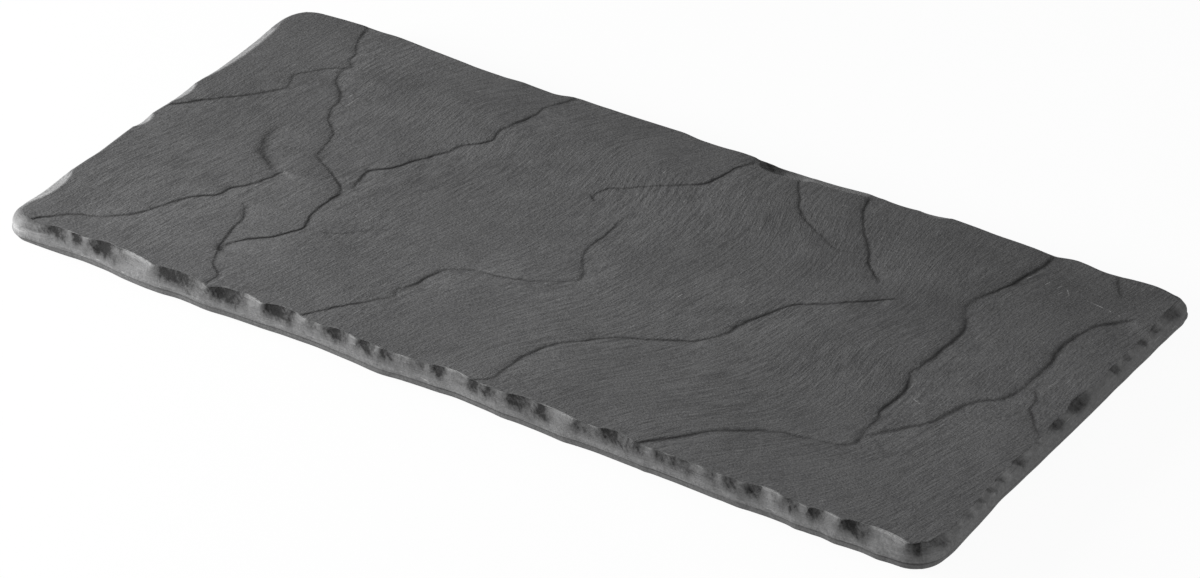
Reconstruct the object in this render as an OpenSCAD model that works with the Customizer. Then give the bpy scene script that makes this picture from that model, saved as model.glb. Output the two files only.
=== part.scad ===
// Rectangular serving tray of slate-look ceramic: a riven slab with a knapped edge, on four stick-on feet.
// Millimetres. The origin is on the table under the tray's centre, with +X along the length,
// -Y towards the near long side, and +Z up.

/* [Slab] */
// Length of the slab
slab_l = 248; // [180:1:400]
// Width of the slab
slab_w = 118; // [90:1:240]
// Thickness of the slab
slab_t = 7; // [5:0.5:12]
// Corner radius in plan
corner_r = 6; // [4:0.5:25]

/* [Edge] */
// How far the flat underside lies inside the widest line of the edge
undercut = 1.8; // [1:0.1:4]
// Height of the rounded undercut
undercut_h = 1; // [0.6:0.1:1.5]
// Height of the mould line above the underside
mould_h = 2.2; // [1.6:0.1:2.6]
// How far the side stands out above the mould line
mould_step = 0.25; // [0.1:0.05:0.5]
// How far the top of the upright side leans in from the widest line
side_lean = 0.3; // [0:0.1:0.8]
// Width of the rounded upper edge, from the widest line
round_w = 1.2; // [0.8:0.1:3]
// Height of the rounded upper edge
round_h = 1.6; // [1:0.1:2]
// How strongly the outline wanders, as a share of what is drawn below
wander = 1; // [0:0.1:1.2]

/* [Knapped edge] */
// How far down the side a flake reaches on the near side and the right end
knapped_drop = 2.4; // [1.5:0.1:2.8]
// How far down the side a flake reaches on the far side and the left end
chipped_drop = 1.4; // [1:0.1:2]
// Extra depth of a flake's root, where the blow fell
root_bite = 0.3; // [0.1:0.05:0.5]
// Depth of the faintest flake
least_bite = 0.15; // [0.1:0.05:0.4]
// Length of a flake's cut over its drawn length, so that neighbours meet in a ridge
flake_overlap = 1.1; // [1:0.05:1.3]

/* [Riven top] */
// Height of the tallest riven step
step_h = 0.4; // [0.2:0.1:1.2]

/* [Feet] */
// Diameter of a foot
foot_d = 12; // [8:0.5:20]
// Height of a foot
foot_h = 1.7; // [1.2:0.1:3]
// Radius of a foot's lower rim
foot_round = 0.8; // [0.3:0.1:1]
// Thickness of the adhesive film
adhesive_t = 0.3; // [0.1:0.1:0.6]
// Bare margin around the adhesive film
adhesive_margin = 0.5; // [0:0.1:1.5]
// Distance from the slab's ends to the centre of a foot
foot_end_inset = 25; // [16:1:50]
// Distance from the slab's long sides to the centre of a foot
foot_side_inset = 23; // [16:1:40]

/* [Hidden] */
$fn = 48;
underside_z = foot_h + adhesive_t;
round_foot_h = slab_t - round_h;

// The wander, the flakes and the riven lines were drawn by eye on a field of this size,
// centred on the tray, and stretch with the slab.
drawn_l = 248;
drawn_w = 118;
stretch = [slab_l / drawn_l, slab_w / drawn_w];

// Spacing of the outline's points along a side, and steps in a corner
outline_pitch = 3;
corner_steps = 6;
// Steps in the rounded undercut and in the rounded upper edge
undercut_steps = 3;
round_steps = 3;
// Facets of a flake's ball when it is small, and when it is wide and nearly flat
ball_facets = 48;
wide_ball_facets = 144;
// Margin by which cutters overrun what they cut
overrun = 2;

// Wander along each side: place on the drawn field, and how far the edge lies out of the straight line
near_wander = [[-118, 0.3], [-110, -0.3], [-103, -0.8], [-95, -0.5], [-90, 0.2], [-81, 0.7], [-75, 0],
    [-66, 0.5], [-58, -0.2], [-46, -0.9], [-36, -1.1], [-26, -0.5], [-20, 0.4], [-14, -0.2], [2, -1.3],
    [10, -0.9], [17, -0.4], [25, -0.3], [30, 0.3], [40, -0.4], [50, 0], [65, 0.2], [75, 0.6], [85, 0],
    [92, 0.5], [112, 0.6], [118, 0.3]];
right_wander = [[-53, 0.3], [-48, 0.8], [-36, 0.5], [-26, 0], [-10, 0], [10, 0.2], [30, 0.2], [53, 0.3]];
far_wander = [[-118, 0], [-105, 0.6], [-100, 0.3], [-95, 0.5], [-90, 0.2], [-80, -0.8], [-60, -1.5],
    [-57, -1.1], [-46, -1.6], [-42, -0.3], [-35, -0.5], [-10, -0.2], [-7, -0.6], [7, -0.8], [30, -0.3],
    [40, 0.1], [53, -0.7], [57, -0.4], [60, 0.7], [70, 0.8], [75, 0.4], [85, 0.3], [88, -0.4], [91, -0.3],
    [94, 0.7], [103, -0.3], [110, 0.4], [115, 0.8], [118, 0.3]];
left_wander = [[-53, 0.3], [-45, 0.2], [-25, -0.1], [-15, 0.5], [0, 0], [8, 0.5], [20, -0.2], [38, 0.6],
    [48, 1], [53, 0.3]];

// Flakes along each side: where the flake starts, where its root ends, where the flake ends,
// and how far in from the edge it reaches on the top. A flake whose root ends at its start has none.
near_flakes = [[-112, -107, -104, 1.7], [-105, -102, -99, 1.3], [-99, -90, -81, 2.8], [-79, -67, -66, 1.8],
    [-64, -55, -50, 2.8], [-50, -41, -38, 2.3], [-38, -36, -34, 1.2], [-33, -27, -24, 1.8], [-24, -19, -17, 1.7],
    [-17, -13, -9, 1], [-4, -1, 6, 1.7], [6, 9, 11, 1.2], [11, 14, 16, 1], [16, 25, 35, 2.1],
    [35, 38, 41, 1.1], [41, 49, 50, 2], [50, 53, 55, 1.3], [55, 58, 60, 1.2], [60, 66, 68, 1],
    [68, 72, 73, 1], [73, 77, 78, 1.3], [78, 82, 88, 2], [88, 91, 94, 1.1], [94, 97, 102, 1.8],
    [103, 109, 118, 2.6]];
right_flakes = [[-53, -51, -50, 1.5], [-50, -48, -45, 1.1], [-44, -41, -38, 1.3], [-38, -35, -33, 1.1],
    [-33, -30, -28, 1.2], [-28, -25, -21, 1.4], [-21, -17, -13, 1.5], [-12, -10, -8, 1.1],
    [-7, -1, 1, 1.7], [2, 12, 14, 2.2], [21, 26, 28, 1.3], [28, 31, 33, 1.1], [34, 38, 41, 1.3],
    [42, 46, 47, 1.3], [47, 51, 53, 1.6]];
far_flakes = [[11, 20, 28, 4.8], [18, 18, 41, 3.8], [54, 54, 61, 3]];
left_flakes = [[-52, -52, -36, 4], [-11, -11, -4, 3], [3, 3, 13, 3], [17, 17, 46, 3]];

// Riven lines: share of the tallest step, two points on the line where the sunk floor meets
// the top again, and the points of the step itself, from the near side or the left end onwards.
// Points past the slab's edge carry the step off the slab.
CLEFTS = [
    [0.8, [-130, -66], [-96, 40], [[-130, -6], [-121, 2], [-113, 12], [-106, 20], [-103, 23],
        [-105, 30], [-101, 36], [-96, 40]]],
    [0.8, [-30, -66], [-65, 66], [[-66, -66], [-67, -57], [-70, -50], [-73, -43], [-70, -38],
        [-62, -28], [-64, -20], [-64, -9], [-69, -3], [-78, 2], [-81, 12], [-88, 21], [-90, 29],
        [-96, 34], [-98, 42], [-102, 53], [-103, 66]]],
    [0.8, [-84, -68], [-81, -8], [[-123, -68], [-117, -57], [-110, -50], [-103, -47], [-98, -42],
        [-92, -30], [-87, -25], [-87, -21], [-82, -14], [-81, -8]]],
    [0.3, [-81, -8], [-94, 7], [[-81, -8], [-87, -6], [-91, -3], [-93, 1], [-94, 7]]],
    [0.8, [-63, -7], [10, 66], [[-63, -7], [-64, 2], [-61, 6], [-57, 14], [-53, 20], [-52, 24],
        [-47, 30], [-48, 34], [-45, 46], [-42, 55], [-40, 66]]],
    [1.0, [13, -66], [6, -8], [[-45, -66], [-41, -57], [-37, -51], [-30, -42], [-27, -38], [-26, -32],
        [-24, -23], [-20, -20], [-11, -18], [-5, -16], [4, -9], [6, -8]]],
    [0.4, [5, -9], [-2, 22], [[5, -9], [2, -6], [-2, 0], [-1, 6], [-1, 12], [-2, 22]]],
    [0.7, [-11, 19], [40, 66], [[-11, 19], [-13, 22], [-12, 26], [-8, 29], [0, 36], [6, 41], [7, 46],
        [10, 56], [12, 66]]],
    [0.6, [51, 32], [34, 66], [[51, 32], [42, 35], [36, 39], [28, 47], [24, 53], [20, 66]]],
    [0.7, [62, 25], [66, 66], [[62, 25], [57, 31], [53, 37], [47, 44], [43, 51], [41, 57], [38, 66]]],
    [1.0, [60, -66], [68, 22], [[3, -66], [7, -57], [10, -50], [11, -42], [15, -35], [25, -25],
        [32, -21], [40, -17], [43, -12], [44, -6], [49, 7], [57, 13], [68, 22]]],
    [0.8, [98, -66], [92, -33], [[45, -66], [50, -58], [56, -52], [61, -46], [66, -42], [72, -38],
        [81, -35], [92, -33]]],
    [0.9, [91, -30], [112, 66], [[91, -30], [88, -20], [90, -9], [87, -2], [88, 11], [88, 18],
        [83, 29], [83, 33], [88, 46], [90, 56], [91, 66]]],
    [0.9, [92, -31], [131, 21], [[92, -31], [93, -25], [100, -16], [104, -5], [108, 0], [111, 10],
        [110, 32], [112, 37], [118, 45], [131, 58]]],
    [0.4, [131, 14], [113, 9], [[131, -17], [122, -8], [118, -3], [116, 0], [114, 6], [113, 9]]],
    [0.4, [110, 51], [116, 66], [[110, 51], [109, 54], [107, 57], [104, 66]]],
];

CORNERS = [["near_left", -1, -1], ["near_right", 1, -1], ["far_left", -1, 1], ["far_right", 1, 1]];

// A point of the drawn field on the slab
function placed(point) = [point[0] * stretch[0], point[1] * stretch[1]];

// One straight side, from start to end, as pairs of point and outward normal
function side(start, end, normal, axis, waves) =
    let (run = end - start, steps = ceil(norm(run) / outline_pitch))
    [for (i = [0 : steps])
        let (spot = start + run * i / steps,
            out = wander * lookup(spot[axis] / stretch[axis], waves) * (i % steps == 0 ? 0 : 1))
        [spot + out * normal, normal]];

// One corner arc, without its end points
function corner(centre, start_angle) =
    [for (i = [1 : corner_steps - 1])
        let (angle = start_angle + 90 * i / corner_steps, normal = [cos(angle), sin(angle)])
        [centre + corner_r * normal, normal]];

// The widest outline, anticlockwise from the near-left corner
half_l = slab_l / 2;
half_w = slab_w / 2;
arc_x = half_l - corner_r;
arc_y = half_w - corner_r;
outline = concat(
    side([-arc_x, -half_w], [arc_x, -half_w], [0, -1], 0, near_wander),
    corner([arc_x, -arc_y], -90),
    side([half_l, -arc_y], [half_l, arc_y], [1, 0], 1, right_wander),
    corner([arc_x, arc_y], 0),
    side([arc_x, half_w], [-arc_x, half_w], [0, 1], 0, far_wander),
    corner([-arc_x, arc_y], 90),
    side([-half_l, arc_y], [-half_l, -arc_y], [-1, 0], 1, left_wander),
    corner([-arc_x, -arc_y], 180)
);

// The edge's section, from the underside up: inset from the widest outline, and height.
// A rounded undercut, a strip that stands back, the mould line, the upright side and the rounded upper edge.
edge_section = concat(
    [for (i = [0 : undercut_steps])
        let (angle = 90 * i / undercut_steps)
        [undercut - (undercut - mould_step) * sin(angle), undercut_h * (1 - cos(angle))]],
    [[mould_step, mould_h], [0, mould_h + mould_step]],
    [for (i = [0 : round_steps])
        let (angle = 90 * i / round_steps)
        [side_lean + (round_w - side_lean) * (1 - cos(angle)), round_foot_h + round_h * sin(angle)]]
);

// The slab before it is knapped and riven: the section carried round the outline
module blank() {
    around = len(outline);
    rings = len(edge_section);
    points = concat(
        [for (ring = edge_section, spot = outline)
            let (flat = spot[0] - ring[0] * spot[1])
            [flat[0], flat[1], ring[1]]],
        [[0, 0, 0], [0, 0, slab_t]]
    );
    base_centre = rings * around;
    top_centre = base_centre + 1;
    wall = [for (r = [0 : rings - 2], i = [0 : around - 1], half = [0, 1])
        let (a = r * around + i, b = r * around + (i + 1) % around)
        half == 0 ? [a, b + around, b] : [a, a + around, b + around]];
    caps = [for (i = [0 : around - 1], top = [false, true])
        let (j = (i + 1) % around, r = (rings - 1) * around)
        top ? [top_centre, r + j, r + i] : [base_centre, i, j]];
    polyhedron(points = points, faces = concat(wall, caps), convexity = 6);
}

// A point of the edge, at a place along one side
function on_edge(place, normal, axis, half, waves) =
    let (along = axis == 0 ? [1, 0] : [0, 1])
    place * stretch[axis] * along + (half + wander * lookup(place, waves)) * normal;

// The hollow of one flake. It runs from its inset on the top to its drop on the side, which sets its tilt
// and how far it bites into the rounding. The ball is just so large that over the flake's length the rim
// swings in from the rounding to the inset and back.
module flake(spot, normal, length, inset, drop, more) {
    out = drop / norm([inset, drop]);
    up = inset / norm([inset, drop]);
    bite = max(out * inset - (out * round_w + up * round_h) / 2, least_bite) + more;
    swing = max(inset - round_w, least_bite);
    ball_r = length * length / (8 * out * swing);
    reach = ball_r - bite;
    flat = spot + (reach * out - round_w / 2) * normal;
    translate([flat[0], flat[1], slab_t - round_h / 2 + reach * up])
        sphere(ball_r, $fn = ball_r > 30 ? wide_ball_facets : ball_facets);
}

// The flakes of one side, each with its deeper root
module side_flakes(strikes, normal, axis, half, waves, drop) {
    for (s = strikes) {
        flake(on_edge((s[0] + s[2]) / 2, normal, axis, half, waves), normal,
            flake_overlap * (s[2] - s[0]), s[3], drop, 0);
        if (s[1] > s[0])
            flake(on_edge((s[0] + s[1]) / 2, normal, axis, half, waves), normal,
                flake_overlap * (s[1] - s[0]), s[3], drop, root_bite);
    }
}

// The knapped edge: closely on the near side and the right end, here and there on the other two
module flakes() {
    side_flakes(near_flakes, [0, -1], 0, half_w, near_wander, knapped_drop);
    side_flakes(right_flakes, [1, 0], 1, half_l, right_wander, knapped_drop);
    side_flakes(far_flakes, [0, 1], 0, half_w, far_wander, chipped_drop);
    side_flakes(left_flakes, [-1, 0], 1, half_l, left_wander, chipped_drop);
}

// One riven step: the floor starts at the hinge line and sinks evenly as far as the step
module cleft(share, hinge_start, hinge_end, step_points) {
    start = placed(hinge_start);
    end = placed(hinge_end);
    line = (end - start) / norm(end - start);
    across = [-line[1], line[0]];
    points = [for (point = step_points) placed(point)];
    depth_run = max([for (point = points) (point - start) * across]);
    dip = atan(share * step_h / depth_run);
    lap = overrun * across;
    intersection() {
        translate([0, 0, slab_t - overrun])
            linear_extrude(2 * overrun)
                polygon(concat(points, [end - lap, start - lap]));
        translate([start[0], start[1], slab_t])
            rotate([0, 0, atan2(line[1], line[0])])
                rotate([-dip, 0, 0])
                    translate([-slab_l, -2 * overrun, 0])
                        cube([3 * slab_l, slab_l, 4 * overrun]);
    }
}

module clefts() {
    for (c = CLEFTS) cleft(c[0], c[1], c[2], c[3]);
}

module slab() {
    color("#55565a")
        translate([0, 0, underside_z])
            difference() {
                difference() {
                    blank();
                    flakes();
                }
                clefts();
            }
}

// Where a foot and its adhesive stand
module at_foot(side_x, side_y) {
    translate([side_x * (half_l - foot_end_inset), side_y * (half_w - foot_side_inset), 0]) children();
}

// A low round foot with a rounded lower rim
module foot(side_x, side_y) {
    flat_r = foot_d / 2 - foot_round;
    color("#232323")
        at_foot(side_x, side_y)
            rotate_extrude() {
                square([flat_r, foot_h]);
                translate([0, foot_round]) square([foot_d / 2, foot_h - foot_round]);
                intersection() {
                    translate([flat_r, foot_round]) circle(foot_round);
                    translate([flat_r, 0]) square(foot_d);
                }
            }
}

// The film of adhesive between a foot and the underside
module adhesive(side_x, side_y) {
    color("#cfcbbd")
        at_foot(side_x, side_y)
            translate([0, 0, foot_h])
                cylinder(h = adhesive_t, d = foot_d - 2 * adhesive_margin);
}

slab();
for (corner = CORNERS) {
    foot(corner[1], corner[2]);
    adhesive(corner[1], corner[2]);
}
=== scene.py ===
# %% [markdown]
# # A slate-look serving tray
#
# The real tray is one pressed and fired slab of dark ceramic. Its top copies split slate: thin layers have
# come away along wandering steps. Its edge copies knapped stone: small hollow flakes are struck off all
# round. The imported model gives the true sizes, so this lesson starts from it and then gives the slab a
# finer surface. All shapes are worked out in millimetres and turned into metres when a mesh is made.

import math

import bpy
import numpy as np
from mathutils import Matrix, Vector


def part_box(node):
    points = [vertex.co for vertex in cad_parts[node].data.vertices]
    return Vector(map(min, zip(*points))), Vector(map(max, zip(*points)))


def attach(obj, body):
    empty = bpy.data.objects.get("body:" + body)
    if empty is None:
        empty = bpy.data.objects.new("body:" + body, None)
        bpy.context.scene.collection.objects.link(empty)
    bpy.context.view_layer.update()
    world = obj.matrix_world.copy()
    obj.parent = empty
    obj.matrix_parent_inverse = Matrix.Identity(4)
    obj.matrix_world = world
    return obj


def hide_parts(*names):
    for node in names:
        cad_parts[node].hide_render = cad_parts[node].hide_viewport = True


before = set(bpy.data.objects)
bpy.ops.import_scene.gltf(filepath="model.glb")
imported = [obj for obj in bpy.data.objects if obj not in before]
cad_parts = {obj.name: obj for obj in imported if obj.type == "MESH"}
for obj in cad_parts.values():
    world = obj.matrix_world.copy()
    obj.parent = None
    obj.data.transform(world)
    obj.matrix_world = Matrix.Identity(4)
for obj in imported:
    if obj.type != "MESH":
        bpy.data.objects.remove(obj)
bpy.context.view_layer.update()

MM = 0.001
slab_low, slab_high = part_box("slab")
UNDERSIDE = slab_low.z / MM
TOP = slab_high.z / MM
print("slab from", round(UNDERSIDE, 2), "to", round(TOP, 2), "mm above the table")

# %% [markdown]
# ## Camera
#
# The photograph looks down on the tray from the near right with a long lens, so the sides hardly converge.
# A camera could be aimed by eye, but four straight sides fix it well: direction, distance and focal length
# were fitted to them. The camera's own axes are built from the angles, then it is set back along its view.

# %% Camera
PHOTO_WIDTH_PX = 1200
FOCAL_PX = 4899
VIEW_AZIMUTH = math.radians(33.51)
VIEW_ELEVATION = math.radians(32.68)
VIEW_ROLL = math.radians(-0.29)
VIEW_DISTANCE = 1126
VIEW_AIM_RIGHT = 2.7
VIEW_AIM_UP = -5.03
SENSOR_MM = 36


def camera_axes(azimuth, elevation, roll):
    """Right, up and back directions of a camera that looks at the origin, turned by roll about its view."""
    right = np.array([math.cos(azimuth), math.sin(azimuth), 0])
    back = np.array([math.sin(azimuth) * math.cos(elevation),
                     -math.cos(azimuth) * math.cos(elevation), math.sin(elevation)])
    up = np.cross(back, right)
    return (math.cos(roll) * right + math.sin(roll) * up,
            math.cos(roll) * up - math.sin(roll) * right, back)


def make_camera():
    """A camera at the aim point plus the view distance along its back direction."""
    right, up, back = camera_axes(VIEW_AZIMUTH, VIEW_ELEVATION, VIEW_ROLL)
    middle = np.array([0, 0, (UNDERSIDE + TOP) / 2])
    place = (middle + VIEW_AIM_RIGHT * right + VIEW_AIM_UP * up + VIEW_DISTANCE * back) * MM
    camera = bpy.data.objects.new("camera", bpy.data.cameras.new("camera"))
    bpy.context.scene.collection.objects.link(camera)
    camera.matrix_world = Matrix([[*axes, spot] for axes, spot in zip(zip(right, up, back), place)]
                                 + [[0, 0, 0, 1]])
    camera.data.sensor_width = SENSOR_MM
    camera.data.lens = FOCAL_PX / PHOTO_WIDTH_PX * SENSOR_MM
    bpy.context.scene.camera = camera
    return camera


camera = make_camera()
print("camera lens", round(camera.data.lens, 1), "mm at", [round(x, 3) for x in camera.location])

# %% [markdown]
# ## Helpers
#
# Worn stone is never quite even. A lattice of random heights, blended smoothly in between, gives gentle
# unevenness of a chosen size. Each kind of unevenness is its height, the length of its cells both ways and
# its seed, which is fixed, so each run gives the same tray. What is given at one spot, such as a tint or a
# turn of the grain, dies away round it as a bell curve.


# %% Helpers for smooth steps, bell curves, noise and meshes
def smooth(t):
    """Rises from 0 to 1 as t does, level at both ends: three t squared less two t cubed."""
    t = np.clip(t, 0, 1)
    return t * t * (3 - 2 * t)


def bell(x, y, spot_x, spot_y, spread):
    """1 on a spot, dying away round it: e to the less squared distance over twice the squared spread."""
    return np.exp(-((x - spot_x) ** 2 + (y - spot_y) ** 2) / (2 * spread ** 2))


def running_mean(values, count):
    """Mean of each run of count values, so the result is shorter by count less one."""
    return np.convolve(values, np.ones(count) / count, mode="valid")


LATTICE = 64
UNEVENNESS = {
    "grain": (2, 26, 26, 3),
    "fine_ripple": (0.012, 1.6, 14, 5),
    "broad_ripple": (0.02, 4, 26, 6),
    "swell": (0.06, 28, 22, 8),
    "rim": (0.25, 6, 6, 11),
    "side": (0.08, 5, 5, 12),
    "rough": (1, 1.3, 1.3, 13),
    "fine_rough": (0.5, 0.7, 0.7, 14),
    "mould_line_shade": (0.4, 12, 12, 15),
    "cleft_line": (0.3, 1.7, 1.7, 21),
    "root_along": (0.8, 1.5, 0.3, 31),
    "knapped": (0.5, 3, 3, 32),
    "root_down": (0.2, 0.9, 0.2, 33),
    "cleft_depth": (0.35, 7, 1, 40),
    "crevice_shade_width": (0.25, 3, 1, 60),
    "crevice_shade_dark": (0.2, 2, 1, 80),
}


def soft_noise(x, y, cell_x, cell_y, seed):
    """Random heights from -1 to 1 on a lattice of cells, with smooth steps between the four nearest."""
    heights = np.random.default_rng(seed).uniform(-1, 1, (LATTICE, LATTICE))
    column, row = np.floor(x / cell_x).astype(int), np.floor(y / cell_y).astype(int)
    across, along = smooth(x / cell_x - column), smooth(y / cell_y - row)

    def corner(dx, dy):
        return heights[(column + dx) % LATTICE, (row + dy) % LATTICE]

    near = corner(0, 0) * (1 - across) + corner(1, 0) * across
    far = corner(0, 1) * (1 - across) + corner(1, 1) * across
    return near * (1 - along) + far * along


def unevenness(kind, x, y, number=0):
    """Soft noise of one kind, times its height. A number, added to its seed, gives another like it."""
    height, cell_x, cell_y, seed = UNEVENNESS[kind]
    return height * soft_noise(x, y, cell_x, cell_y, seed + number)


def make_mesh(name, points_mm, quads, triangles):
    """A mesh object at the origin from an array of points and arrays of four- and three-cornered faces."""
    mesh = bpy.data.meshes.new(name)
    mesh.from_pydata(points_mm * MM, [], [*quads.tolist(), *triangles.tolist()])
    mesh.validate()
    mesh.shade_smooth()
    piece = bpy.data.objects.new(name, mesh)
    bpy.context.scene.collection.objects.link(piece)
    return piece


def store(piece, name, values):
    """Keeps one number, or one vector, per point of the piece for its material to read."""
    kind, key = ("FLOAT", "value") if values.ndim == 1 else ("FLOAT_VECTOR", "vector")
    attribute = piece.data.attributes.new(name, kind, "POINT")
    attribute.data.foreach_set(key, values.astype(np.float32).ravel())


# %% [markdown]
# ## Outline
#
# Seen from above the tray is a rectangle with rounded corners whose sides wander by up to two millimetres,
# as a hand-broken edge does. Each pair of a side's wander is a place along it and how far out it stands
# there. Each side runs from the middle of one corner to the middle of the next, so the four sides together
# close the outline, and each is also one side of the top's grid.

# %% Outline stations
SLAB_L = 248
SLAB_W = 118
CORNER_R = {"near_left": 5, "near_right": 7, "far_right": 2.5, "far_left": 7}
CELLS_LONG = 388
CELLS_SHORT = 180
SIDES = ("near", "right", "far", "left")
WANDER_BLEND = 7
WANDER_NEAR = [
    (-118, 0.6), (-110, -0.5), (-103, -0.9), (-95, -0.5), (-90, 0.1), (-81, 0.6), (-75, -0.2), (-66, 0.4),
    (-58, -0.3), (-46, -0.9), (-36, -1), (-26, -0.4), (-20, 0), (-14, -0.3), (2, -1.3), (10, -0.8),
    (17, -0.5), (25, -0.3), (30, 0.1), (40, -0.4), (50, -0.1), (65, 0), (75, 0.4), (85, -0.1), (92, 0.3),
    (110, 0.3), (118, 0.2),
]
WANDER_RIGHT = [
    (-58, 0.2), (-53, 0.5), (-48, 1), (-42, 0.7), (-36, 0.5), (-27, -0.1), (-18, 0.1), (0, 0.2), (12, 0.3),
    (35, 0.2), (40, 0.4), (46, 0.2), (53, 0.4), (57, 0.9),
]
WANDER_FAR = [
    (-123, 0), (-118, -0.5), (-110, 0.3), (-105, 0.6), (-100, 0.2), (-95, 0.5), (-90, 0.2), (-85, -0.3),
    (-80, -0.6), (-75, -1), (-70, -1.5), (-60, -1.7), (-57, -1.1), (-50, -1.6), (-46, -1.8), (-42, 0.1),
    (-35, -0.3), (-25, -0.5), (-15, -0.3), (-10, -0.1), (-7, -0.7), (0, -0.9), (5, -0.4), (8, -0.4),
    (13, -0.2), (17, -0.8), (30, -0.5), (36, 0.2), (40, 0.6), (45, -0.3), (50, -0.6), (54, -0.3), (57, 0.3),
    (60, 1), (70, 0.6), (75, 0.2), (85, 0.2), (88, -0.3), (91, -0.2), (94, 0.9), (97, 0.7), (103, -0.4),
    (110, 0.7), (116, 1.2), (121, 0.6),
]
WANDER_LEFT = [
    (-54, 0.6), (-45, 0), (-38, 0.2), (-32, -0.2), (-25, -0.4), (-15, 0), (-9, 0.2), (0, 0), (4, -0.4),
    (8, 0.4), (14, 0), (20, -0.5), (30, 0.2), (38, 0.6), (48, 1.3), (56, 0),
]


def side_stations(cells, half, depth, along, radii, wander):
    """Points and outward normals of one side, from mid corner to mid corner, evenly along its length.

    Past the straight stretch the normal turns by the extra length over the corner radius. Each point is
    then moved along its normal by the wander, read off between the given places.
    """
    along = np.array(along, float)
    outward = np.array([along[1], -along[0]])
    first, last = radii[0] - half, half - radii[1]
    run = np.linspace(first - math.pi / 4 * radii[0], last + math.pi / 4 * radii[1], cells + 1)
    flat = np.clip(run, first, last)
    radius = np.where(run < 0, *radii)
    turn = (run - flat) / radius
    normal = np.cos(turn)[:, None] * outward + np.sin(turn)[:, None] * along
    point = flat[:, None] * along + (depth - radius)[:, None] * outward + radius[:, None] * normal
    place, moved = np.array(wander, float).T
    moved = np.interp(point @ np.abs(along), place, moved)
    moved = running_mean(np.pad(moved, WANDER_BLEND // 2, mode="edge"), WANDER_BLEND)
    return point + moved[:, None] * normal, normal


def outline_sides():
    """The four sides in turn, anticlockwise from the near left corner."""
    near_left, near_right, far_right, far_left = CORNER_R.values()
    long, short = (CELLS_LONG, SLAB_L / 2, SLAB_W / 2), (CELLS_SHORT, SLAB_W / 2, SLAB_L / 2)
    return [side_stations(*long, (1, 0), (near_left, near_right), WANDER_NEAR),
            side_stations(*short, (0, 1), (near_right, far_right), WANDER_RIGHT),
            side_stations(*long, (-1, 0), (far_right, far_left), WANDER_FAR),
            side_stations(*short, (0, -1), (far_left, near_left), WANDER_LEFT)]


def per_side(*values):
    """One value for each side, in their order round the outline."""
    return dict(zip(SIDES, values))


sides = outline_sides()
outline = np.concatenate([point[:-1] for point, normal in sides])
normals = np.concatenate([normal[:-1] for point, normal in sides])
turns = np.cumsum([0, CELLS_LONG, CELLS_SHORT, CELLS_LONG, CELLS_SHORT])
side_spans = per_side(*[(slice(first, last), axis)
                        for first, last, axis in zip(turns, turns[1:], (0, 1, 0, 1))])
print("outline of", len(outline), "stations,", np.ptp(outline, axis=0).round(1), "mm")
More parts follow.
